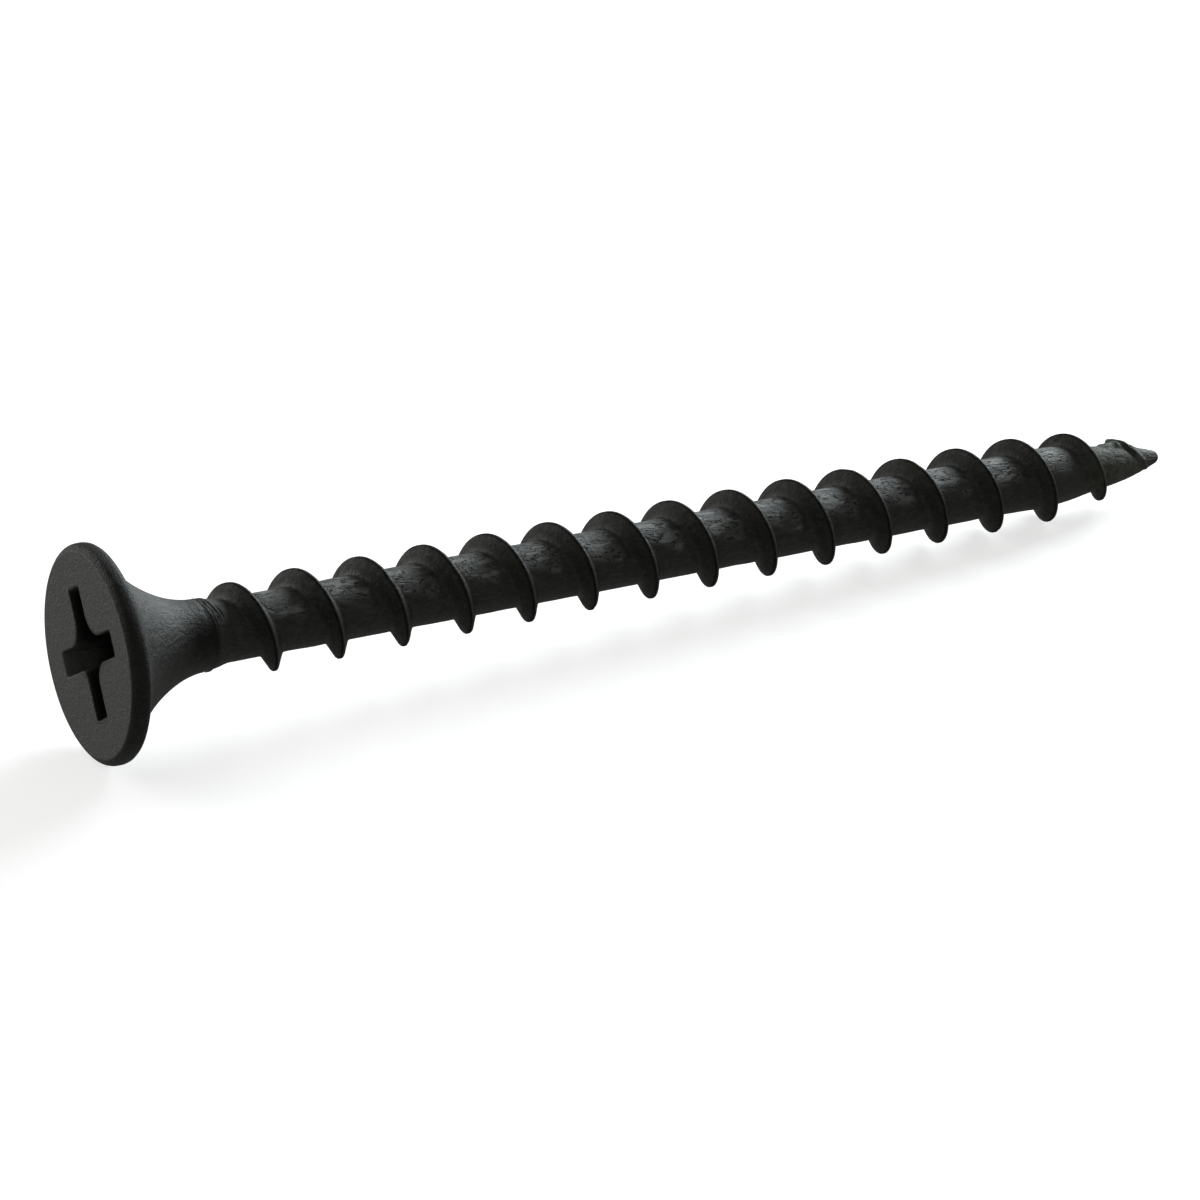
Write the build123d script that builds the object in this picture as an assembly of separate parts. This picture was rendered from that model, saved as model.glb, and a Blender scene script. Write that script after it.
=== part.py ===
"""Bugle-head screw for wood, 50 mm size, with a Phillips number 2 drive recess. All sizes in millimetres.

The screw is one piece of steel, so there is one node called "screw".
Row frame: the origin is the centre of the flat top of the head, +X runs along the axis to the point and
+Z is up.
"""

import os
from math import cos, pi, radians, sin, tan

from build123d import *

# ---- overall sizes -------------------------------------------------------------------------
LENGTH = 50.4
HEAD_RADIUS = 4.27
FACE_RADIUS = 3.97            # flat part of the top of the head
RIM_END = 0.52                # where the straight rim stops and the underside begins
CORE_RADIUS = 1.23            # root of the thread
CREST_RADIUS = 1.90           # outside of the thread
PITCH = 25.4 / 9.0            # nine threads to the inch, one start, right hand

# ---- underside of the head, as (distance along the axis, radius) -----------------------------
BUGLE = [(0.78, 4.07), (1.15, 3.30), (1.66, 2.77), (2.48, 2.14), (3.31, 1.70), (4.14, 1.46), (4.90, 1.41)]
NECK_STEP = 0.60              # slope from the neck down to the thread root

# ---- gimlet point, as (distance along the axis, radius) --------------------------------------
NOSE_RADIUS = 0.30
NOSE_ANGLE = 28.0             # slope of the point where it meets the round nose
POINT_END = (
    LENGTH - NOSE_RADIUS + NOSE_RADIUS * sin(radians(NOSE_ANGLE)),
    NOSE_RADIUS * cos(radians(NOSE_ANGLE)),
)
POINT = [(42.0, 1.23), (43.8, 1.28), (45.35, 1.18), (46.90, 0.95), (48.00, 0.82), (49.00, 0.62),
         (49.75, 0.43), POINT_END]

# ---- thread -----------------------------------------------------------------------------------
CREST_WIDTH = 0.11            # narrow flat along the crest
FLANK_SLOPE = 0.615           # axial width gained per unit of depth, close to a 60 degree thread
THREAD_EMBED = 0.16           # how far the thread body reaches into the core
START_TURN = 0.75             # in turns from the +Y direction
END_TURN = 16.45
CREST_OFFSET = 2.739          # crest position along the axis at turn zero
POINTS_PER_TURN = 12          # spline points along each spiral edge
# crest radius as (turn, radius): it grows out of the neck, runs full, then follows the point down
CREST_PROFILE = [(0.75, 1.28), (1.00, 1.64), (1.25, 1.84), (1.75, 1.89), (2.35, CREST_RADIUS),
                 (14.60, CREST_RADIUS), (15.05, 1.76), (15.60, 1.48), (15.90, 1.22), (16.15, 0.95),
                 (16.30, 0.80), (16.45, 0.64)]

# ---- Phillips recess ----------------------------------------------------------------------------
WING_ANGLE = 58.5             # direction of the first wing, turned from +Y towards +Z
WING_REACH = 2.55             # centre to wing end at the top of the head
WING_THICKNESS = 1.00         # at the top of the head
CORNER_RADIUS = 0.95          # between neighbouring wings at the top of the head
WING_DEPTH = 2.30
WING_END_ANGLE = 26.5         # slope of the wing ends
WING_SIDE_ANGLE = 5.75        # slope of the wing sides
CORNER_RADIUS_LOW = 0.42      # between neighbouring wings at the wing bottoms
CONE_RADIUS = 1.02            # pointed pocket below the wings
CONE_DEPTH = 2.78


def between(table, where):
    """Straight-line value of a (position, value) table."""
    if where <= table[0][0]:
        return table[0][1]
    for (x0, y0), (x1, y1) in zip(table, table[1:]):
        if where <= x1:
            return y0 + (y1 - y0) * (where - x0) / (x1 - x0)
    return table[-1][1]


def core_radius(x):
    """Radius of the threaded core at a distance x from the top of the head."""
    return between(POINT, x) if x > POINT[0][0] else CORE_RADIUS


def make_blank():
    """The turned shape without its thread: head, neck, core and point."""
    flat = Line((0, 0), (0, FACE_RADIUS))
    corner = RadiusArc((0, FACE_RADIUS), (HEAD_RADIUS - FACE_RADIUS, HEAD_RADIUS), HEAD_RADIUS - FACE_RADIUS)
    rim = Line(corner @ 1, (RIM_END, HEAD_RADIUS))
    back = ThreePointArc(rim @ 1, (0.69, 4.21), BUGLE[0])
    bugle = Spline(*BUGLE, tangents=[(0.42, -0.9), (1, 0)])
    step = Line(BUGLE[-1], (BUGLE[-1][0] + NECK_STEP, CORE_RADIUS))
    core = Line(step @ 1, POINT[0])
    point = Spline(*POINT, tangents=[(1, 0), (1, -tan(radians(NOSE_ANGLE)))])
    nose = CenterArc((LENGTH - NOSE_RADIUS, 0), NOSE_RADIUS, 0, 90.0 - NOSE_ANGLE)
    axis = Line((LENGTH, 0), (0, 0))
    section = make_face(flat + corner + rim + back + bugle + step + core + point + nose + axis)
    return revolve(section, axis=Axis.X, revolution_arc=360)


def rail_point(turn, side, low):
    """Point on one spiral edge of the thread body. side is -1 towards the head or +1 towards the point."""
    crest_x = CREST_OFFSET + PITCH * turn
    crest_r = between(CREST_PROFILE, turn)
    root_r = core_radius(crest_x) - THREAD_EMBED
    reach = CREST_WIDTH / 2.0
    radius = crest_r
    if low:
        reach += FLANK_SLOPE * (crest_r - root_r)
        radius = root_r
    angle = 2.0 * pi * turn
    return Vector(crest_x + side * reach, radius * cos(angle), radius * sin(angle))


def rail_direction(turn, side, low):
    """Unit direction of the same spiral edge."""
    small = 1e-4
    ahead = rail_point(turn + small, side, low)
    behind = rail_point(turn - small, side, low)
    return (ahead - behind).normalized()


def rail(first, last, side, low):
    """Spiral edge between two turns."""
    points = []
    for index in range(POINTS_PER_TURN + 1):
        turn = first + (last - first) * index / POINTS_PER_TURN
        points.append(rail_point(turn, side, low))
    ends = [rail_direction(first, side, low), rail_direction(last, side, low)]
    return Edge.make_spline(points, tangents=ends, scale=False)


def make_thread():
    """Closed body of the thread ridge, built turn by turn from ruled faces between four spiral edges."""
    count = int(round(END_TURN - START_TURN))
    step = (END_TURN - START_TURN) / count
    faces = []
    for piece in range(count):
        first = START_TURN + step * piece
        last = first + step
        ring = [
            rail(first, last, -1, True),
            rail(first, last, -1, False),
            rail(first, last, 1, False),
            rail(first, last, 1, True),
        ]
        for one, other in zip(ring, ring[1:] + ring[:1]):
            faces.append(Face.make_surface_from_curves(one, other))
        if piece == 0:
            faces.append(Face(Wire.make_polygon([edge @ 0 for edge in ring], close=True)))
        if piece == count - 1:
            faces.append(Face(Wire.make_polygon([edge @ 1 for edge in ring], close=True)))
    return Solid(Shell(faces))


def cross_outline(depth, reach, half, corner):
    """Cross-shaped wire with rounded inner corners, on a plane at the given depth."""
    edges = []
    for quarter in range(4):
        angle = radians(WING_ANGLE + 90.0 * quarter)
        along = (cos(angle), sin(angle))
        across = (-sin(angle), cos(angle))

        def place(a, b):
            return Vector(depth, along[0] * a + across[0] * b, along[1] * a + across[1] * b)

        start = half + corner
        edges.append(Edge.make_line(place(reach, -half), place(reach, half)))
        edges.append(Edge.make_line(place(reach, half), place(start, half)))
        middle = start - corner * cos(pi / 4.0)
        edges.append(Edge.make_three_point_arc(place(start, half), place(middle, middle), place(half, start)))
        edges.append(Edge.make_line(place(half, start), place(half, reach)))
    return Wire(edges)


def make_recess():
    """Material removed by the Phillips punch."""
    over = 0.2
    top = cross_outline(
        -over,
        WING_REACH + over * tan(radians(WING_END_ANGLE)),
        WING_THICKNESS / 2.0 + over * tan(radians(WING_SIDE_ANGLE)),
        CORNER_RADIUS,
    )
    low = cross_outline(
        WING_DEPTH,
        WING_REACH - WING_DEPTH * tan(radians(WING_END_ANGLE)),
        WING_THICKNESS / 2.0 - WING_DEPTH * tan(radians(WING_SIDE_ANGLE)),
        CORNER_RADIUS_LOW,
    )
    wings = Solid.make_loft([top, low], ruled=True)
    pocket_plane = Plane(origin=(WING_DEPTH - 0.25, 0, 0), z_dir=(1, 0, 0))
    pocket = Solid.make_cone(CONE_RADIUS, 0.08, CONE_DEPTH - WING_DEPTH + 0.25, plane=pocket_plane)
    return wings, pocket


def make_screw():
    """The whole screw as one solid."""
    blank = make_blank().solids()[0]
    wings, pocket = make_recess()
    return blank.fuse(make_thread()).cut(wings, pocket).solids()[0]


def main():
    os.makedirs("parts", exist_ok=True)
    export_step(make_screw(), "parts/screw.step")


if __name__ == "__main__":
    main()
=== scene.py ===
"""Visual model of a black phosphated wood screw.

It is one piece of steel, so one mesh stands for the whole CAD node. The mesh follows the screw's own
lines: rings run round the head and the neck, then rows follow the thread, so that its crest is a clean
line of edges, and rings close the point. Lengths in this script are millimetres until the mesh is
written, in metres.
"""

from math import cos, pi, radians, sin, tan

import bpy
import numpy as np
from mathutils import Matrix, Vector

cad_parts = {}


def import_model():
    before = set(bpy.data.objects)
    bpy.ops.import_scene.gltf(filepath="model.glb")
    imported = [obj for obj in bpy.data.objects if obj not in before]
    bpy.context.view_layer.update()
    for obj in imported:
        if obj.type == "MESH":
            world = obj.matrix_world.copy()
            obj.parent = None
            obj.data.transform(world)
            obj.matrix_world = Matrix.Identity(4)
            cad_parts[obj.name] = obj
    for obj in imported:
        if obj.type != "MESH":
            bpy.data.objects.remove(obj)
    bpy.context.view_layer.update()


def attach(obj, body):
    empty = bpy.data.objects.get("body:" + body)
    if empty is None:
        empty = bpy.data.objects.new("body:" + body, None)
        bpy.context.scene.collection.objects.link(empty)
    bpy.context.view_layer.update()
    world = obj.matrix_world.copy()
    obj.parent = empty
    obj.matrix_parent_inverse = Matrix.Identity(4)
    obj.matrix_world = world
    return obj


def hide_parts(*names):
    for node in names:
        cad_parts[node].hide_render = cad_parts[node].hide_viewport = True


MM = 0.001

# ---- sizes shared with the CAD model -----------------------------------------------------------
LENGTH = 50.4
HEAD_RADIUS = 4.27
FACE_RADIUS = 3.97
RIM_END = 0.52
CORE_RADIUS = 1.23
PITCH = 25.4 / 9.0
CREST_OFFSET = 2.739
FLANK_SLOPE = 0.615
BUGLE = [(0.78, 4.07), (1.15, 3.30), (1.66, 2.77), (2.48, 2.14), (3.31, 1.70), (4.14, 1.46), (4.90, 1.41)]
POINT = [(42.0, 1.23), (43.8, 1.28), (45.35, 1.18), (46.9, 0.95), (48.0, 0.82), (49.0, 0.62), (49.75, 0.43),
         (50.24, 0.265)]
NOSE_RADIUS = 0.30
CREST_PROFILE = [(0.75, 1.28), (1.00, 1.64), (1.25, 1.84), (1.75, 1.89), (2.35, 1.90),
                 (14.60, 1.90), (15.05, 1.76), (15.60, 1.48), (15.90, 1.22), (16.15, 0.95),
                 (16.30, 0.80), (16.45, 0.64)]

# ---- drive recess --------------------------------------------------------------------------------
WING_ANGLE = 58.5
WING_REACH = 2.55
WING_THICKNESS = 1.00
CORNERS_TOP = (0.95, 0.80, 0.50, 0.90)   # each inner corner, going round from the first wing
CORNER_LOW = 0.42
OFF_CENTRE = (-0.09, 0.11)    # the punch went in slightly off the axis
WING_DEPTH = 2.30
WING_END_ANGLE = 26.5
WING_SIDE_ANGLE = 5.75
RECESS_DEPTH = 2.78
MOUTH_ROUND = 0.04
TIP_ROUND = 0.10              # corners at the wing ends
WALL_DEPTHS = (0.2, 0.45, 0.75, 1.05, 1.35, 1.65, 1.95, 2.18, 2.27)
FLOOR_RINGS = ((2.31, 0.80), (2.34, 0.62), (2.50, 0.38), (2.66, 0.18), (2.74, 0.08))  # depth, radius

# ---- marks of making, seen on this screw, and painted shade on the neck --------------------------
CREST_HALF_WIDTH = 0.070      # the rolled crest is a little blunter than the CAD one
# the two ring lines below the neck, as (angle in degrees from +Y towards +Z, distance along the axis)
RING_LINE = [(60, 4.69), (100, 4.70), (120, 4.80), (139, 4.89), (190, 4.83), (243, 4.79), (300, 4.74)]
SECOND_LINE = [(60, 4.88), (83, 4.93), (111, 5.05), (130, 5.18), (170, 5.23), (240, 5.20), (320, 5.00)]
# torn flap where the thread runs out on top of the point, and the groove and ridge that lead from it
FLAP = [(47.48, 0.0), (47.58, 0.09), (47.95, 0.11), (48.15, 0.24), (48.23, 0.21), (48.40, 0.11),
        (48.80, 0.07), (49.10, 0.06), (49.30, 0.0)]
END_GROOVE = [(60, 48.35), (115, 48.58), (141, 48.80), (179, 49.10), (216, 49.40), (260, 49.70)]
END_RIDGE = [(60, 48.70), (90, 48.92), (123, 49.08), (150, 49.21), (196, 49.42), (260, 49.75)]
# painted shade on the neck, with less sheen, in degrees from +Y towards +Z
NECK_SHADE_AMOUNT = 0.95
NECK_SHADE_MIDDLE = 152.0
NECK_SHADE_WIDTH = 46.0
# small nick in the rim of the head
NICK_MIDDLE = 83.0
NICK_WIDTH = 2.5
NICK_DEPTH = 0.05

# ---- mesh layout ---------------------------------------------------------------------------------
COLUMNS = 128                 # steps round the screw, a multiple of four
HELIX_START = 5.35            # rows follow the thread between these two distances from the head
HELIX_END = 49.55
HALF_PITCH_ROWS = [0.03, 0.055, 0.08, 0.12, 0.18, 0.25, 0.32, 0.38, 0.425, 0.47,
                   0.53, 0.62, 0.74, 0.88, 1.02, 1.16, 1.30]
NECK_ROWS = 30
TURNS_LAID = 20               # more turns than the screw has; rows beyond its ends are dropped
FACE_SHARES = (0.06, 0.25, 0.5, 0.75, 0.93, 0.99)        # rings between the recess and the face's edge
RIM_RINGS = [(0.0, FACE_RADIUS), (0.012, FACE_RADIUS + 0.02), (0.04, 4.05), (0.08, 4.11), (0.14, 4.18),
             (0.21, 4.23), (0.30, 4.26), (0.41, HEAD_RADIUS), (RIM_END, HEAD_RADIUS), (0.63, 4.245),
             (0.71, 4.185)]
POINT_RINGS = (49.64, 49.73, 49.82, 49.92, 50.02, 50.12, 50.20)
NOSE_ANGLES = (60, 50, 40, 30, 20, 9)
POLE_INSET = 0.005
TIP_ON_NOSE = 0.4             # tip mask on the round end

# Masks carry each zone's tone to the material; some carry painted light or shade. edge: worn point side of
# the crest, paler, partly wear and partly a painted highlight. shade: painted shade on the head side of the
# crest and on the neck. flank: thread flanks that face the head. rim: edge of the head, with painted shade.
# face: flat of the head, paler, partly painted light. core: folded skin between turns, with painted light.
# seam: pale line beside it, a painted highlight. tip: the point, paler, partly painted light. Last, walls
# of the recess, with painted shade.
MASKS = ("edge", "shade", "flank", "rim", "face", "core", "seam", "tip", "well")

# ---- tones of the coating ------------------------------------------------------------------------
TONE_DARK = (0.014, 0.0142, 0.0125)
TONE_LIGHT = (0.026, 0.0268, 0.0245)
TONE_PATCH = (0.0055, 0.0052, 0.0042)
TONE_SMUDGE = (0.052, 0.053, 0.049)
TONE_STAIN = (0.036, 0.033, 0.025)
TONE_GRAIN = (0.042, 0.043, 0.039)
# painted light on the folded skin
TONE_LIT_FOLDS = (0.190, 0.197, 0.192)
# the face is paler, partly painted light
TONE_FACE = (0.073, 0.076, 0.069)
# the point is paler, partly painted light
TONE_TIP = (0.104, 0.112, 0.092)
# painted highlight on the seam
TONE_SEAM_HIGHLIGHT = (0.070, 0.074, 0.070)
# worn crest edge, partly wear and partly a painted highlight
TONE_WORN_AND_LIT = (0.085, 0.084, 0.076)
TONE_RUST = (0.050, 0.030, 0.020)
TONE_DEEP = (0.005, 0.005, 0.004)     # shaded sides, creases and pits
# painted shade on the rim
TONE_RIM_SHADE = (0.012, 0.012, 0.011)
# painted shade in the recess
TONE_RECESS_SHADE = (0.002, 0.002, 0.0015)
TONE_FLECK = (0.120, 0.125, 0.120)
RELIEF_HEIGHT = 0.00004               # metres

# ---- camera and floor ----------------------------------------------------------------------------
CAMERA_AT = (-59.344, -133.439, 65.190)
CAMERA_AIM = (22.366, -0.190, -1.652)
CAMERA_LENS = 126.7
CAMERA_TILT = 2.85            # the camera's upright leans with the floor
FLOOR_REACH = 2.0             # metres from the middle to each side
FLOOR_GAP = 0.00002           # metres under the lowest points


# ==== small helpers ===============================================================================
def between(table, where):
    """Straight-line values of a (position, value) table."""
    xs, ys = np.array(table).T
    return np.interp(where, xs, ys)


def smooth_table(table, where):
    """Cubic values through a (position, value) table, without overshoot."""
    xs, ys = np.array(table).T
    steps = np.diff(ys) / np.diff(xs)
    slopes = np.concatenate(([steps[0]], (steps[1:] + steps[:-1]) / 2.0, [steps[-1]]))
    for index in range(1, len(slopes) - 1):
        if steps[index - 1] * steps[index] <= 0:
            slopes[index] = 0.0
    where = np.clip(where, xs[0], xs[-1])
    cell = np.clip(np.searchsorted(xs, where, side="right") - 1, 0, len(xs) - 2)
    width = xs[cell + 1] - xs[cell]
    t = (where - xs[cell]) / width
    low = ys[cell] * (1 + 2 * t) * (1 - t) ** 2 + slopes[cell] * width * t * (1 - t) ** 2
    high = ys[cell + 1] * t * t * (3 - 2 * t) - slopes[cell + 1] * width * t * t * (1 - t)
    return low + high


def smooth_max(a, b, blend):
    """The larger of two values, rounded where they cross."""
    mix = np.clip(blend - np.abs(a - b), 0.0, None) / blend
    return np.maximum(a, b) + mix * mix * blend / 4.0


def smooth_min(a, b, blend):
    """The smaller of two values, rounded where they cross."""
    return -smooth_max(-a, -b, blend)


def ramp(low, high, value):
    """Soft step from 0 at low to 1 at high."""
    t = np.clip((value - low) / (high - low), 0.0, 1.0)
    return t * t * (3 - 2 * t)


def bump(value, centre, width):
    """Soft hill of height 1."""
    return np.exp(-((value - centre) / width) ** 2)


def degrees_round(angle):
    """Angle round the screw in degrees, from 0 to 360."""
    return np.degrees(angle) % 360.0


def round_table(table, angle):
    """Values of a (degrees, value) table that closes on itself round the screw."""
    xs, ys = np.array(table).T
    return np.interp(degrees_round(angle), xs, ys, period=360.0)


def masks(count, **values):
    """Rows of mask values for a number of vertices; masks that aren't named are zero."""
    columns = [np.zeros(count) + values.get(name, 0.0) for name in MASKS]
    return [tuple(row) for row in np.stack(columns, 1).tolist()]


def noise(x, y, z, seed):
    """Smooth random field, roughly -1 to 1, with features one unit across."""
    cell = [np.floor(v).astype(np.int64) for v in (x, y, z)]
    frac = [v - np.floor(v) for v in (x, y, z)]
    fade = [f * f * f * (f * (f * 6 - 15) + 10) for f in frac]
    total = 0.0
    for dx in (0, 1):
        for dy in (0, 1):
            for dz in (0, 1):
                key = (cell[0] + dx) * 73856093 ^ (cell[1] + dy) * 19349663 ^ (cell[2] + dz) * 83492791
                key = (key ^ (seed * 2654435)) & 0x7FFFFFFF
                key = (key * 1103515245 + 12345) & 0x7FFFFFFF
                key = ((key >> 7) * 69069 + 1) & 0x7FFFFFFF
                value = (key & 0xFFFF) / 32767.5 - 1.0
                weight = 1.0
                for step, f in zip((dx, dy, dz), fade):
                    weight = weight * (f if step else 1 - f)
                total = total + value * weight
    return total


# ==== shape of the surface ========================================================================
def core_radius(x):
    """Radius of the body under the thread."""
    neck = CORE_RADIUS + 0.035 * (1 - ramp(4.80, 4.90, x)) + 0.145 * (1 - ramp(4.85, 5.70, x))
    point_start = POINT[0][0] - 1.0
    point = smooth_table([(point_start, CORE_RADIUS)] + POINT, x)
    return np.where(x < point_start, neck, point)


def crest_radius(turn):
    """Radius of the thread's crest, growing from the neck and dying out on the point."""
    return smooth_table(CREST_PROFILE, turn)


def rolled_skin(x, angle, ahead):
    """Height of the core's rolled skin, and masks of its folded part and the seam below it (painted light).
    """
    y_round = np.cos(angle)
    z_round = np.sin(angle)
    # two dies leave the same marks on opposite sides, so the pattern repeats after half a turn
    half_turn = np.degrees(angle) % 180.0
    seam_at = 141.0 + 9.0 * ahead + 7.0 * noise(x * 0.9, 0 * x, 0 * x, 43) - 30.0 * ramp(1.75, 2.25, ahead)
    folded = ramp(52.0, 80.0, half_turn) * (1 - ramp(-4.0, 14.0, half_turn - seam_at))
    window = ramp(0.32, 0.62, ahead) * (1 - ramp(PITCH - 0.80, PITCH - 0.40, ahead)) * ramp(5.5, 6.2, x)
    quiet = 1 - ramp(43.5, 45.5, x)
    folded = folded * window * (0.3 + 0.7 * quiet)
    lumps = noise(x * 1.3, y_round * 2.2, z_round * 2.2, 11)
    folds = noise(x * 1.5, y_round * 3.6, z_round * 3.6, 17)
    folds = 0.3 - np.abs(folds)
    present = ramp(-0.25, 0.35, noise(x * 1.1, y_round, z_round, 47))
    seam = bump(half_turn, seam_at, 3.5) * window * quiet * present
    under = bump(half_turn, seam_at + 8.0, 4.0) * window * quiet * present
    skin = window * 0.010 * lumps + folded * 0.030 * folds + 0.014 * seam - 0.010 * under
    return skin, folded, seam - 0.8 * under


def surface(x, angle):
    """Radius of the threaded part at a distance x and an angle, with its masks."""
    first_turn = CREST_PROFILE[0][0]
    last_turn = CREST_PROFILE[-1][0]
    where = (x - CREST_OFFSET) / PITCH - angle / (2 * pi)
    nearest = np.round(where)
    offset = (where - nearest) * PITCH
    turn = nearest + angle / (2 * pi)
    top = crest_radius(np.clip(turn, first_turn, last_turn))
    alive = ramp(first_turn - 0.05, first_turn + 0.25, turn)
    alive = alive * (1 - ramp(last_turn - 0.1, last_turn + 0.02, turn))
    base = core_radius(x)

    nick = noise(turn * 14.0, turn * 0.0, turn * 0.0, 3)
    top = top + 0.008 * noise(turn * 5.0, 0 * turn, 0 * turn, 5) - 0.03 * ramp(0.78, 1.0, nick)
    flank = top - (np.abs(offset) - CREST_HALF_WIDTH) / FLANK_SLOPE
    ridge = smooth_min(top, flank, 0.05)
    ridge = np.where(alive > 0, base + (ridge - base) * alive, base - 1.0)

    ahead = np.where(offset > 0, offset, offset + PITCH)
    skin, folded, seam = rolled_skin(x, angle, ahead)
    radius = smooth_max(base + skin, ridge, np.where(offset > 0, 0.09, 0.035))
    tall = ramp(0.15, 0.4, top - base) * alive
    # pale point side of the crest: partly wear, partly a painted highlight
    edge = bump(offset, 0.050, 0.030) * tall
    shade = bump(offset, -0.045, 0.040) * tall
    flank = ramp(0.05, 0.25, ridge - base) * ramp(0.02, -0.06, offset)
    return radius, {"edge": edge, "shade": shade, "flank": flank, "core": folded, "seam": seam}


def neck_detail(x, angle):
    """Lip, groove and scuffed ridges between the neck and the first turn of the thread."""
    turned = degrees_round(angle)
    line = round_table(RING_LINE, angle) + 0.006 * noise(angle * 3, 0 * x, 0 * x, 21)
    second = round_table(SECOND_LINE, angle) + 0.012 * noise(angle * 4, 0 * x, 0 * x, 23)
    front = bump(turned, 150.0, 60.0)
    lip = 0.020 * bump(x, line - 0.05, 0.05) - (0.026 + 0.026 * front) * bump(x, line + 0.02, 0.030)
    lip = lip + 0.022 * bump(x, line - 0.02, 0.05) * bump(turned, 255.0, 35.0)
    near_top = ramp(45.0, 75.0, turned) * (1 - ramp(118.0, 152.0, turned))
    share = (x - line) / (second - line)
    wave = np.sin(share * 2 * pi * 2.3 + 2.2 * noise(angle * 4, x * 5, 0 * x, 29))
    ridges = 0.015 * wave * ramp(0.08, 0.2, share) * (1 - ramp(0.95, 1.1, share))
    torn = 0.020 * noise(x * 12, angle * 5 + x * 7, 0 * x, 29) * bump(share, 0.7, 0.5)
    dip = -0.060 * bump(x, second + 0.10, 0.07) * bump(turned, 122.0, 18.0)
    edge = 0.030 * bump(x, second, 0.035)
    return lip + (ridges + torn + dip + edge) * near_top


def neck_shade_round(angle):
    """Strength of the painted shade on the neck at an angle round the screw."""
    return bump(degrees_round(angle), NECK_SHADE_MIDDLE, NECK_SHADE_WIDTH)


def point_detail(x, angle):
    """Torn flap, groove and ridge where the thread runs out on the point."""
    turned = degrees_round(angle)
    jagged = 1 + 0.15 * noise(x * 7, turned / 22.0, 0 * x, 53)
    on_top = ramp(30.0, 52.0, turned) * (1 - ramp(84.0, 104.0, turned))
    flap = between(FLAP, x) * jagged * on_top
    along = ramp(60.0, 85.0, turned) * (1 - ramp(200.0, 245.0, turned))
    groove = -0.075 * bump(x, round_table(END_GROOVE, angle), 0.10)
    ridge = 0.060 * bump(x, round_table(END_RIDGE, angle) + 0.02 * jagged, 0.09)
    return flap + (groove * ramp(78.0, 100.0, turned) + ridge) * along


# ==== mesh ========================================================================================
class Mesh:
    """Vertices, their masks and faces, gathered before the Blender mesh is made."""

    def __init__(self):
        self.points = []
        self.rows = []
        self.faces = []

    def add(self, points, rows):
        """Adds vertices with their rows of masks and returns their numbers."""
        first = len(self.points)
        self.points.extend(points)
        self.rows.extend(rows)
        return list(range(first, len(self.points)))

    def bridge(self, ring, other):
        """Joins two rings of the same count."""
        count = len(ring)
        for index in range(count):
            after = (index + 1) % count
            self.faces.append((ring[index], ring[after], other[after], other[index]))


def column_angles():
    """Angle of each column, counted from the first wing of the recess."""
    return radians(WING_ANGLE) + 2 * pi * np.arange(COLUMNS) / COLUMNS


def cross_outline(reach, half, corners, tip):
    """Outline of the drive recess as column points, in the plane of the head."""
    points = []

    def run(start, end, count):
        for step in range(count):
            t = step / count
            points.append((start[0] + (end[0] - start[0]) * t, start[1] + (end[1] - start[1]) * t))

    def arc(centre, radius, start, end, count):
        for step in range(count):
            angle = radians(start + (end - start) * step / count)
            points.append((centre[0] + radius * cos(angle), centre[1] + radius * sin(angle)))

    outline = []
    for number, corner in enumerate(corners):
        points = []
        begin = half + corner
        run((reach, 0), (reach, half - tip), 2)
        arc((reach - tip, half - tip), tip, 0, 90, 3)
        run((reach - tip, half), (begin, half), 6)
        arc((begin, begin), corner, 270, 180, 10)
        run((half, begin), (half, reach - tip), 6)
        arc((half - tip, reach - tip), tip, 0, 90, 3)
        run((half - tip, reach), (0, reach), 2)
        turn = radians(WING_ANGLE + 90 * number)
        for a, b in points:
            y = a * cos(turn) - b * sin(turn) + OFF_CENTRE[0]
            z = a * sin(turn) + b * cos(turn) + OFF_CENTRE[1]
            outline.append((y, z))
    return np.array(outline)


def recess_ring(depth, grow):
    """Recess outline at a depth, grown outward by a small amount."""
    share = min(depth / WING_DEPTH, 1.0)
    return cross_outline(
        WING_REACH - depth * tan(radians(WING_END_ANGLE)) + grow,
        WING_THICKNESS / 2 - depth * tan(radians(WING_SIDE_ANGLE)) + grow,
        [top + (CORNER_LOW - top) * share - grow for top in CORNERS_TOP],
        TIP_ROUND + grow,
    )


def flat_ring(mesh, depth, outline, **values):
    """Adds one ring that lies in a plane across the axis."""
    points = [(depth, y, z) for y, z in outline]
    return mesh.add(points, masks(len(points), **values))


def recess_steps():
    """Depth and outward growth of each ring of the walls, from the rounded mouth down."""
    steps = []
    for angle in (0, 30, 60, 90):
        steps.append((MOUTH_ROUND * (1 - cos(radians(angle))), MOUTH_ROUND * (1 - sin(radians(angle)))))
    for depth in WALL_DEPTHS:
        steps.append((depth, 0.0))
    return steps


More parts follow.
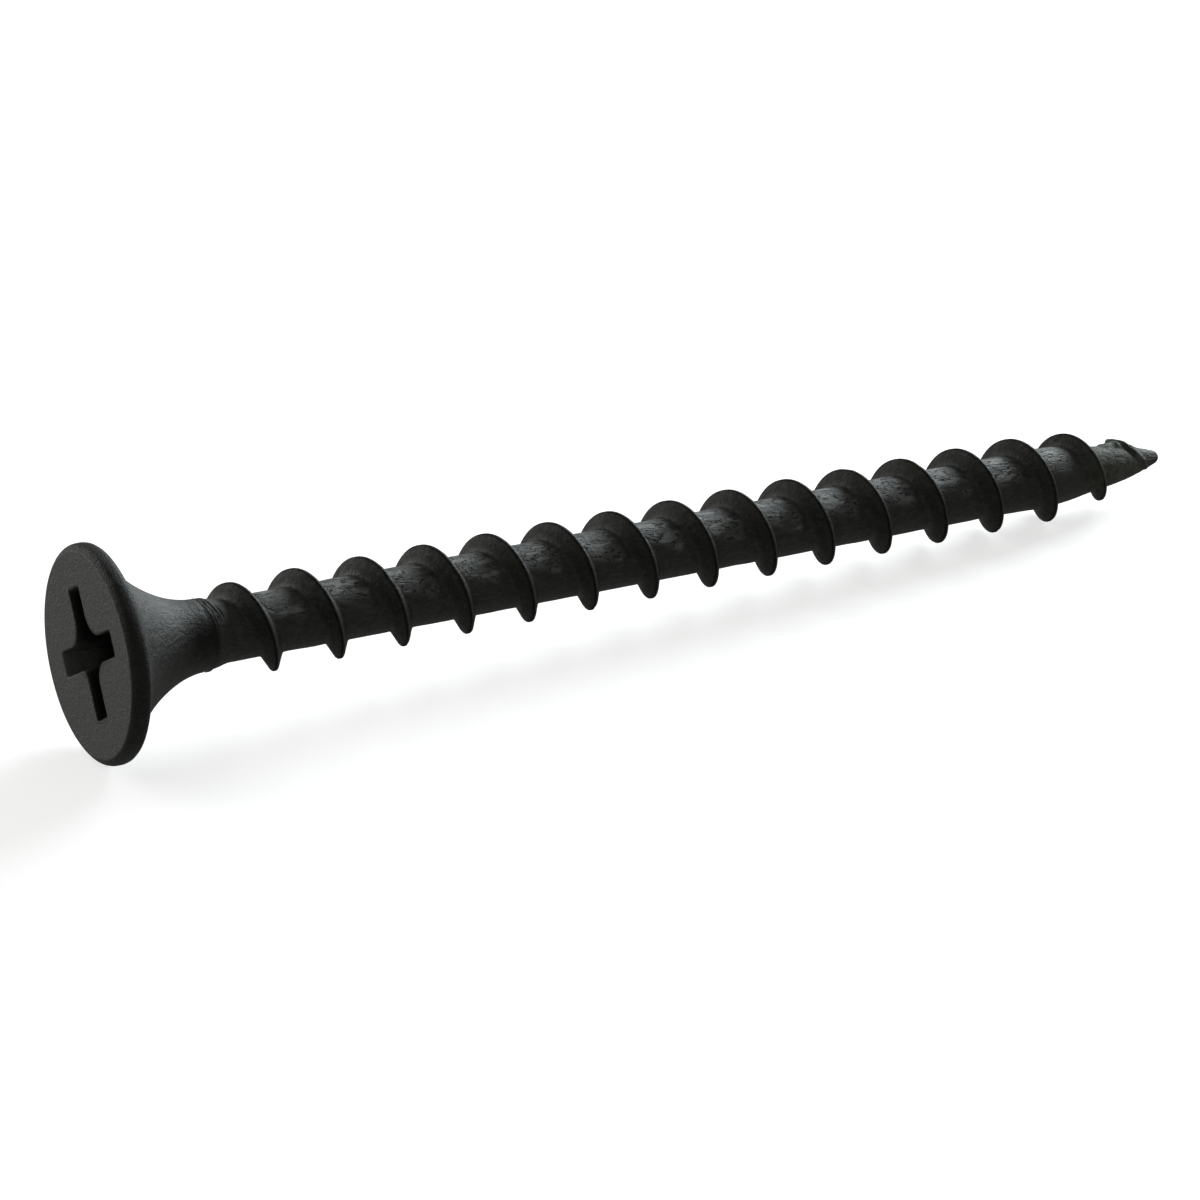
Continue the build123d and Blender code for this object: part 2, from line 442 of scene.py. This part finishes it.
def add_recess(mesh):
    """Walls and floor of the recess. Returns the ring at its mouth."""
    rings = []
    for depth, grow in recess_steps():
        outline = recess_ring(depth, grow)
        # one wing is painted paler near its mouth than the rest of the recess: painted light, where light
        # reaches in
        lit_wing = ramp(0.1, 1.3, outline[:, 0]) * (1 - ramp(-0.4, 0.6, outline[:, 1]))
        lit_wing = lit_wing * (1 - ramp(0.9, 1.9, depth))
        # painted shade, growing deeper into the recess
        well = ramp(-0.3, 0.4, depth) * (1 - lit_wing)
        rings.append(flat_ring(mesh, depth, outline, well=well, face=0.9 * lit_wing))
    low = recess_ring(WING_DEPTH, -0.03)
    rings.append(flat_ring(mesh, WING_DEPTH, low, well=1.0))
    middle = np.array(OFF_CENTRE)
    reach = np.hypot(*(low - middle).T)
    for depth, limit in FLOOR_RINGS:
        shrink = np.minimum(reach * 0.97, limit) / reach
        rings.append(flat_ring(mesh, depth, middle + (low - middle) * shrink[:, None], well=1.0))
    for ring, other in zip(rings, rings[1:]):
        mesh.bridge(other, ring)
    bottom = mesh.add([(RECESS_DEPTH,) + OFF_CENTRE], masks(1, well=1.0))[0]
    last = rings[-1]
    for index in range(COLUMNS):
        mesh.faces.append((last[(index + 1) % COLUMNS], last[index], bottom))
    return rings[0]


def head_profile():
    """Distance and radius of each ring from the face to the neck."""
    xs = np.concatenate((np.linspace(BUGLE[0][0], 1.9, 12), np.linspace(2.02, 4.5, 18)))
    return RIM_RINGS + list(zip(xs, smooth_table(BUGLE, xs)))


def add_head(mesh, mouth):
    """Face, rim and underside of the head. Returns the last ring, on the neck."""
    angles = column_angles()
    turned = degrees_round(angles)
    around = np.stack([np.cos(angles), np.sin(angles)], 1)
    inner = np.array([mesh.points[index][1:] for index in mouth])
    last = mouth
    for share in FACE_SHARES:
        outline = inner + (around * FACE_RADIUS - inner) * share
        ring = flat_ring(mesh, 0.0, outline, face=1.0)
        mesh.bridge(last, ring)
        last = ring
    for x, radius in head_profile():
        wobble = 0.006 * noise(angles * 1.5, 0 * angles + x, 0 * angles, 31) * ramp(0.1, 0.5, x)
        nick = NICK_DEPTH * bump(turned, NICK_MIDDLE, NICK_WIDTH) * (1 - ramp(0.1, 0.5, x))
        outline = around * (radius + wobble - nick)[:, None]
        # painted shade on the rim, weaker at the bottom of the head
        rim = ramp(0.0, 0.02, x) * (1 - ramp(0.55, 0.85, x)) * (1 - 0.7 * bump(turned, 270.0, 50.0))
        # painted shade on the neck, with less sheen
        neck_shade = NECK_SHADE_AMOUNT * ramp(2.9, 4.1, x) * neck_shade_round(angles)
        ring = flat_ring(mesh, x, outline, face=1.0 - ramp(0.0, 0.03, x), rim=rim, shade=neck_shade)
        mesh.bridge(last, ring)
        last = ring
    return last


def threaded_points(x, angle):
    """Vertices and masks of the threaded part for matching arrays of distance and angle."""
    radius, values = surface(x, angle)
    # the point is painted paler, partly painted light
    tip = 0.35 * ramp(42.5, 44.5, x) + 0.65 * ramp(45.3, 46.8, x)
    tip = tip * (1 - 0.6 * ramp(49.1, 49.6, x))
    rough = 0.012 * noise(x * 5, np.cos(angle) * 4, np.sin(angle) * 4, 37) * ramp(46.0, 48.0, x)
    radius = radius + neck_detail(x, angle) + point_detail(x, angle) + rough
    # painted shade on the neck, with less sheen, up to the ring line
    neck_shade = NECK_SHADE_AMOUNT * (1 - ramp(4.75, 4.95, x)) * neck_shade_round(angle)
    values["shade"] = np.maximum(values["shade"], neck_shade)
    points = np.stack([x, radius * np.cos(angle), radius * np.sin(angle)], 1)
    return [tuple(p) for p in points.tolist()], masks(len(x), tip=tip, **values)


def threaded_ring(mesh, x):
    """One ring across the axis on the threaded part."""
    angles = column_angles()
    points, rows = threaded_points(np.full(COLUMNS, x), angles)
    return mesh.add(points, rows)


def row_offsets():
    """Distances of the rows from the crest, over one pitch."""
    return [-value for value in reversed(HALF_PITCH_ROWS)] + [0.0] + HALF_PITCH_ROWS


def zip_strip(mesh, first, second, heights):
    """Fills the strip between two open columns of vertices with triangles."""
    a = 0
    b = 0
    while a < len(first) - 1 or b < len(second) - 1:
        next_a = heights[first[a + 1]] if a < len(first) - 1 else np.inf
        next_b = heights[second[b + 1]] if b < len(second) - 1 else np.inf
        if next_a <= next_b:
            mesh.faces.append((first[a], second[b], first[a + 1]))
            a += 1
        else:
            mesh.faces.append((first[a], second[b], second[b + 1]))
            b += 1


def thread_columns(mesh, offsets):
    """Vertices along each column, as dictionaries from row number to vertex number."""
    count = len(offsets)
    columns = []
    for angle in column_angles():
        lead = CREST_OFFSET + PITCH * angle / (2 * pi)
        ids = np.arange(0, TURNS_LAID * count)
        x = lead + PITCH * (ids // count) + np.array(offsets)[ids % count]
        keep = (x > HELIX_START + 0.02) & (x < HELIX_END - 0.02)
        points, rows = threaded_points(x[keep], np.full(keep.sum(), angle))
        numbers = mesh.add(points, rows)
        columns.append(dict(zip(ids[keep].tolist(), numbers)))
    return columns


def add_thread(mesh, top, bottom):
    """Rows that follow the thread, between two rings across the axis."""
    offsets = row_offsets()
    count = len(offsets)
    columns = thread_columns(mesh, offsets)
    heights = {}
    for index, column in enumerate(columns):
        for number in list(column.values()) + [top[index], bottom[index]]:
            heights[number] = mesh.points[number][0]
    for index in range(COLUMNS):
        here = columns[index]
        after = columns[(index + 1) % COLUMNS]
        shift = count if index == COLUMNS - 1 else 0
        there = {key - shift: number for key, number in after.items()}
        low = max(min(here), min(there))
        high = min(max(here), max(there))
        for key in range(low, high):
            mesh.faces.append((here[key], there[key], there[key + 1], here[key + 1]))
        ring_after = (index + 1) % COLUMNS
        start_a = [top[index]] + [here[key] for key in sorted(here) if key <= low]
        start_b = [top[ring_after]] + [there[key] for key in sorted(there) if key <= low]
        zip_strip(mesh, start_a, start_b, heights)
        end_a = [here[key] for key in sorted(here) if key >= high] + [bottom[index]]
        end_b = [there[key] for key in sorted(there) if key >= high] + [bottom[ring_after]]
        zip_strip(mesh, end_a, end_b, heights)


def add_nose(mesh, ring):
    """Round end of the point."""
    angles = column_angles()
    last = ring
    for x in POINT_RINGS:
        ring = threaded_ring(mesh, x)
        mesh.bridge(last, ring)
        last = ring
    centre = LENGTH - NOSE_RADIUS
    for angle in NOSE_ANGLES:
        x = centre + NOSE_RADIUS * cos(radians(angle))
        radius = NOSE_RADIUS * sin(radians(angle))
        lump = 1 + 0.03 * noise(np.cos(angles) * 1.5, np.sin(angles) * 1.5, 0 * angles + x * 2, 41)
        points = [(x, radius * k * cos(a), radius * k * sin(a)) for a, k in zip(angles, lump)]
        ring = mesh.add(points, masks(COLUMNS, tip=TIP_ON_NOSE))
        mesh.bridge(last, ring)
        last = ring
    pole = mesh.add([(LENGTH - POLE_INSET, 0, 0)], masks(1, tip=TIP_ON_NOSE))[0]
    for index in range(COLUMNS):
        mesh.faces.append((last[index], last[(index + 1) % COLUMNS], pole))


def fill_mesh():
    """All the vertices, masks and faces of the screw, from the recess to the point."""
    mesh = Mesh()
    mouth = add_recess(mesh)
    last = add_head(mesh, mouth)
    for x in np.concatenate((np.linspace(4.54, 4.62, 3), np.linspace(4.645, HELIX_START, NECK_ROWS))):
        ring = threaded_ring(mesh, x)
        mesh.bridge(last, ring)
        last = ring
    end = threaded_ring(mesh, HELIX_END)
    add_thread(mesh, last, end)
    add_nose(mesh, end)
    return mesh


def make_screw():
    """Builds the whole screw as one closed mesh object."""
    mesh = fill_mesh()
    data = bpy.data.meshes.new("screw_body")
    points = np.array(mesh.points) * MM
    data.from_pydata(points.tolist(), [], mesh.faces)
    rows = np.array(mesh.rows, dtype=np.float32)
    for column, name in enumerate(MASKS):
        attribute = data.attributes.new(name, "FLOAT", "POINT")
        attribute.data.foreach_set("value", np.ascontiguousarray(rows[:, column]))
    data.validate()
    data.polygons.foreach_set("use_smooth", [True] * len(data.polygons))
    data.update()
    piece = bpy.data.objects.new("screw_body", data)
    bpy.context.collection.objects.link(piece)
    return piece


# ==== material ====================================================================================
class Graph:
    """Shader nodes of one material, with short ways to add the kinds that the coating needs."""

    def __init__(self, material):
        self.nodes = material.node_tree.nodes
        self.links = material.node_tree.links
        self.place = self.nodes.new("ShaderNodeTexCoord").outputs["Object"]

    def scaled(self, x, y, z):
        """Object coordinates times three factors; 1000 gives millimetres."""
        node = self.nodes.new("ShaderNodeMapping")
        node.inputs["Scale"].default_value = (x, y, z)
        self.links.new(self.place, node.inputs["Vector"])
        return node.outputs["Vector"]

    def texture(self, source, size, detail, rough):
        """Cloudy noise."""
        node = self.nodes.new("ShaderNodeTexNoise")
        node.inputs["Scale"].default_value = size
        node.inputs["Detail"].default_value = detail
        node.inputs["Roughness"].default_value = rough
        self.links.new(source, node.inputs["Vector"])
        return node.outputs["Fac"]

    def spread(self, value, low, high, new_low, new_high):
        """Stretches the range low to high over new_low to new_high, and holds it beyond."""
        node = self.nodes.new("ShaderNodeMapRange")
        node.inputs["From Min"].default_value = low
        node.inputs["From Max"].default_value = high
        node.inputs["To Min"].default_value = new_low
        node.inputs["To Max"].default_value = new_high
        self.links.new(value, node.inputs["Value"])
        return node.outputs["Result"]

    def math(self, kind, a, b):
        """Sum, product or other operation on two values."""
        node = self.nodes.new("ShaderNodeMath")
        node.operation = kind
        for socket, value in zip(node.inputs, (a, b)):
            if isinstance(value, (int, float)):
                socket.default_value = value
            else:
                self.links.new(value, socket)
        return node.outputs[0]

    def times(self, a, b):
        """Product of two values."""
        return self.math("MULTIPLY", a, b)

    def less(self, value, amount, share):
        """Value minus an amount times a share."""
        return self.math("SUBTRACT", value, self.times(amount, share))

    def more(self, value, amount, share):
        """Value plus an amount times a share."""
        return self.math("ADD", value, self.times(amount, share))

    def mix(self, share, a, b):
        """Colour a turned towards colour b by a share."""
        node = self.nodes.new("ShaderNodeMix")
        node.data_type = "RGBA"
        self.links.new(share, node.inputs["Factor"])
        for socket, value in ((node.inputs["A"], a), (node.inputs["B"], b)):
            if isinstance(value, tuple):
                socket.default_value = value + (1.0,)
            else:
                self.links.new(value, socket)
        return node.outputs["Result"]

    def mask(self, name):
        """One of the masks that the mesh carries."""
        node = self.nodes.new("ShaderNodeAttribute")
        node.attribute_name = name
        return node.outputs["Fac"]

    def specks(self, source, density, size):
        """Small round dots."""
        node = self.nodes.new("ShaderNodeTexVoronoi")
        node.inputs["Scale"].default_value = density
        self.links.new(source, node.inputs["Vector"])
        return self.spread(node.outputs["Distance"], size * 0.6, size, 1, 0)


def coating_textures(graph):
    """Textures that the coating's tone, gloss and relief share, by name."""
    even = graph.scaled(1000.0, 1000.0, 1000.0)
    along = graph.scaled(900.0, 2300.0, 2300.0)      # stretched along the screw
    parts = {
        "cloud": graph.texture(even, 0.9, 4.0, 0.6),
        "grain": graph.texture(even, 14.0, 3.0, 0.65),
        "fine": graph.texture(even, 45.0, 2.0, 0.5),
        "patch": graph.texture(even, 2.6, 5.0, 0.62),
        "rough": graph.texture(even, 6.5, 3.0, 0.6),
        "wrinkle": graph.texture(along, 1.0, 2.5, 0.5),
        "smudge": graph.texture(along, 3.4, 3.0, 0.55),
        "stain": graph.texture(along, 1.6, 4.0, 0.6),
        "pits": graph.specks(even, 1.7, 0.085),
        "flecks": graph.specks(even, 1.3, 0.060),
    }
    # creases of the folded skin: sunk in the relief and given painted shade
    middle = graph.math("ABSOLUTE", graph.math("SUBTRACT", parts["wrinkle"], 0.52), 0.0)
    crease = graph.times(graph.spread(middle, 0.004, 0.042, 1, 0), graph.mask("core"))
    parts["crease"] = graph.times(crease, graph.spread(parts["rough"], 0.44, 0.56, 0.2, 1))
    return parts


def coating_tone(graph, parts):
    """Colour of the coating, one layer over another."""
    spread = graph.spread
    times = graph.times
    mask = graph.mask
    patch = parts["patch"]
    bare = graph.math("SUBTRACT", 1.0, mask("face"))
    layers = [
        (times(spread(patch, 0.48, 0.56, 0, 0.9), bare), TONE_PATCH),
        (times(spread(parts["smudge"], 0.50, 0.64, 0, 0.7), bare), TONE_SMUDGE),
        (times(mask("flank"), spread(parts["stain"], 0.44, 0.56, 0, 0.6)), TONE_STAIN),
        (spread(parts["grain"], 0.42, 0.68, 0, 0.75), TONE_GRAIN),
        # painted light on the folded skin
        (times(mask("core"), spread(parts["wrinkle"], 0.40, 0.64, 0.1, 1.0)), TONE_LIT_FOLDS),
        # face paler, partly painted light
        (times(mask("face"), spread(parts["rough"], 0.35, 0.65, 0.62, 0.98)), TONE_FACE),
        # point paler, partly painted light
        (times(mask("tip"), spread(patch, 0.40, 0.58, 0.35, 1.0)), TONE_TIP),
        # painted highlight on the seam
        (times(mask("seam"), 0.7), TONE_SEAM_HIGHLIGHT),
        # crest edge: wear and a painted highlight
        (times(mask("edge"), spread(patch, 0.36, 0.60, 0.25, 0.95)), TONE_WORN_AND_LIT),
        (times(mask("edge"), spread(patch, 0.60, 0.70, 0, 0.5)), TONE_RUST),
        (times(mask("shade"), 0.7), TONE_DEEP),
        # painted shade in the creases
        (times(parts["crease"], 0.85), TONE_DEEP),
        # painted shade on the rim
        (times(mask("rim"), 0.5), TONE_RIM_SHADE),
        # painted shade in the recess
        (times(mask("well"), 0.95), TONE_RECESS_SHADE),
        (times(parts["pits"], 0.8), TONE_DEEP),
        (times(parts["flecks"], 0.7), TONE_FLECK),
    ]
    tone = graph.mix(spread(parts["cloud"], 0.35, 0.65, 0, 1), TONE_DARK, TONE_LIGHT)
    for share, layer in layers:
        tone = graph.mix(share, tone, layer)
    return tone


def coating_roughness(graph, parts):
    """Roughness of the coating: a little more on the face, the flanks and in the recess."""
    grainy = graph.spread(parts["grain"], 0.3, 0.7, -0.06, 0.06)
    rough = graph.math("ADD", graph.spread(parts["cloud"], 0.3, 0.7, 0.47, 0.55), grainy)
    for name, extra in (("face", 0.04), ("flank", 0.08), ("well", 0.10)):
        rough = graph.more(rough, graph.mask(name), extra)
    return rough


def coating_sheen(graph, parts):
    """Strength of the reflection, lower where shade is painted and where the coating is less glossy."""
    stained = graph.times(graph.spread(parts["stain"], 0.42, 0.58, 0.5, 1.0), 0.34)
    sheen = graph.less(0.5, graph.mask("shade"), 0.35)
    sheen = graph.less(sheen, parts["crease"], 0.45)
    sheen = graph.less(sheen, graph.mask("rim"), 0.28)
    sheen = graph.less(sheen, graph.mask("well"), 0.42)
    sheen = graph.less(sheen, graph.mask("flank"), stained)
    sheen = graph.less(sheen, graph.mask("tip"), 0.30)
    return graph.math("MAXIMUM", sheen, 0.03)


def coating_relief(graph, parts):
    """Fine bumps of the coating, too small for the mesh."""
    rough_tip = graph.times(parts["rough"], graph.mask("tip"))
    rough_core = graph.times(parts["rough"], graph.mask("core"))
    wrinkled = graph.times(parts["wrinkle"], graph.mask("core"))
    height = graph.times(parts["grain"], 0.9)
    height = graph.more(height, parts["fine"], 0.35)
    height = graph.more(height, parts["patch"], 1.5)
    height = graph.more(height, parts["smudge"], 1.2)
    height = graph.more(height, rough_tip, 1.8)
    height = graph.more(height, rough_core, 1.3)
    height = graph.more(height, wrinkled, 4.5)
    height = graph.less(height, parts["crease"], 1.6)
    height = graph.less(height, parts["pits"], 0.6)
    relief = graph.nodes.new("ShaderNodeBump")
    relief.inputs["Strength"].default_value = 0.8
    relief.inputs["Distance"].default_value = RELIEF_HEIGHT
    graph.links.new(height, relief.inputs["Height"])
    return relief.outputs["Normal"]


def phosphate_material():
    """Matt black phosphate coating on steel: fine crystal grain, cloudy tone, pale worn edges, painted
    light and shade.
    """
    material = bpy.data.materials.new("black_phosphate")
    material.use_nodes = True
    graph = Graph(material)
    parts = coating_textures(graph)
    shader = graph.nodes["Principled BSDF"]
    shader.inputs["Metallic"].default_value = 0.0
    graph.links.new(coating_tone(graph, parts), shader.inputs["Base Color"])
    graph.links.new(coating_roughness(graph, parts), shader.inputs["Roughness"])
    graph.links.new(coating_sheen(graph, parts), shader.inputs["Specular IOR Level"])
    graph.links.new(coating_relief(graph, parts), shader.inputs["Normal"])
    return material


# ==== setting =====================================================================================
def floor_material():
    """Plain pale surface that glows like a light table, so that shadows on it stay soft."""
    material = bpy.data.materials.new("pale_floor")
    material.use_nodes = True
    nodes = material.node_tree.nodes
    links = material.node_tree.links
    shader = nodes["Principled BSDF"]
    cloud = nodes.new("ShaderNodeTexNoise")
    cloud.inputs["Scale"].default_value = 12.0
    ramp_node = nodes.new("ShaderNodeValToRGB")
    ramp_node.color_ramp.elements[0].color = (0.86, 0.86, 0.86, 1)
    ramp_node.color_ramp.elements[1].color = (0.90, 0.90, 0.90, 1)
    links.new(cloud.outputs["Fac"], ramp_node.inputs["Fac"])
    links.new(ramp_node.outputs["Color"], shader.inputs["Base Color"])
    shader.inputs["Roughness"].default_value = 0.8
    shader.inputs["Emission Color"].default_value = (1, 1, 1, 1)
    shader.inputs["Emission Strength"].default_value = 0.65
    return material


def resting_plane(piece):
    """Slope and height of the floor under the head's rim and the thread's lowest crest."""
    count = len(piece.data.vertices)
    points = np.empty(count * 3)
    piece.data.vertices.foreach_get("co", points)
    points = points.reshape(-1, 3)
    head = points[points[:, 0] < 0.001]
    lowest = head[np.argmin(head[:, 2])]
    shaft = points[points[:, 0] > 0.01]
    slope = np.min((shaft[:, 2] - lowest[2]) / (shaft[:, 0] - lowest[0]))
    return slope, lowest[2] - slope * lowest[0]


def add_floor(piece):
    """Large floor that the screw lies on, tilted because the screw lies on its head and its thread."""
    slope, height = resting_plane(piece)
    height -= FLOOR_GAP
    reach = FLOOR_REACH
    corners = [(-reach, -reach), (reach, -reach), (reach, reach), (-reach, reach)]
    points = [(x, y, height + slope * x) for x, y in corners]
    data = bpy.data.meshes.new("floor")
    data.from_pydata(points, [], [(0, 1, 2, 3)])
    floor = bpy.data.objects.new("floor", data)
    data.materials.append(floor_material())
    bpy.context.collection.objects.link(floor)
    # the glowing floor is seen, but throws no light on the screw
    floor.visible_diffuse = False
    floor.visible_glossy = False


def aim(thing, place, target, upright):
    """Puts a camera or light at a place, looking at a target."""
    place = Vector(place)
    back = (place - Vector(target)).normalized()
    right = Vector(upright).cross(back).normalized()
    above = back.cross(right)
    frame = Matrix((right, above, back)).transposed().to_4x4()
    thing.matrix_world = Matrix.Translation(place * MM) @ frame


def add_camera():
    """Long lens, in front of the screw, above it and a little towards its head."""
    data = bpy.data.cameras.new("camera")
    data.lens = CAMERA_LENS
    data.sensor_width = 36.0
    data.clip_start = 0.005
    data.clip_end = 20.0
    camera = bpy.data.objects.new("camera", data)
    bpy.context.collection.objects.link(camera)
    tilt = radians(CAMERA_TILT)
    aim(camera, CAMERA_AT, CAMERA_AIM, (-sin(tilt), 0, cos(tilt)))
    bpy.context.scene.camera = camera


def add_light(name, direction, distance, target, size, power, color):
    """Soft rectangular light in a direction from its target; lengths in millimetres."""
    data = bpy.data.lights.new(name, "AREA")
    data.shape = "RECTANGLE"
    data.size = size[0] * MM
    data.size_y = size[1] * MM
    data.energy = power
    data.color = color
    light = bpy.data.objects.new(name, data)
    bpy.context.collection.objects.link(light)
    place = Vector(target) + Vector(direction).normalized() * distance
    aim(light, place, target, (0, 0.01, 1))


def add_lights():
    """Cool key light low behind the point, a weaker light low behind the head, and a dim surround."""
    add_light("key", (0.76, 0.42, 0.48), 260, (22, 0, 0), (200, 150), 0.70, (0.90, 0.98, 1.0))
    add_light("head_side", (-0.50, 0.80, 0.16), 240, (10, 0, 0), (170, 90), 0.235, (1.0, 1.0, 0.98))
    world = bpy.data.worlds.new("surround")
    world.use_nodes = True
    background = world.node_tree.nodes["Background"]
    background.inputs["Color"].default_value = (1.0, 1.0, 0.95, 1)
    background.inputs["Strength"].default_value = 0.19
    scene = bpy.context.scene
    scene.world = world
    scene.view_settings.view_transform = "Standard"


def main():
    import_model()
    piece = make_screw()
    piece.data.materials.append(phosphate_material())
    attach(piece, "root")
    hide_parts("screw")
    add_floor(piece)
    add_camera()
    add_lights()


main()
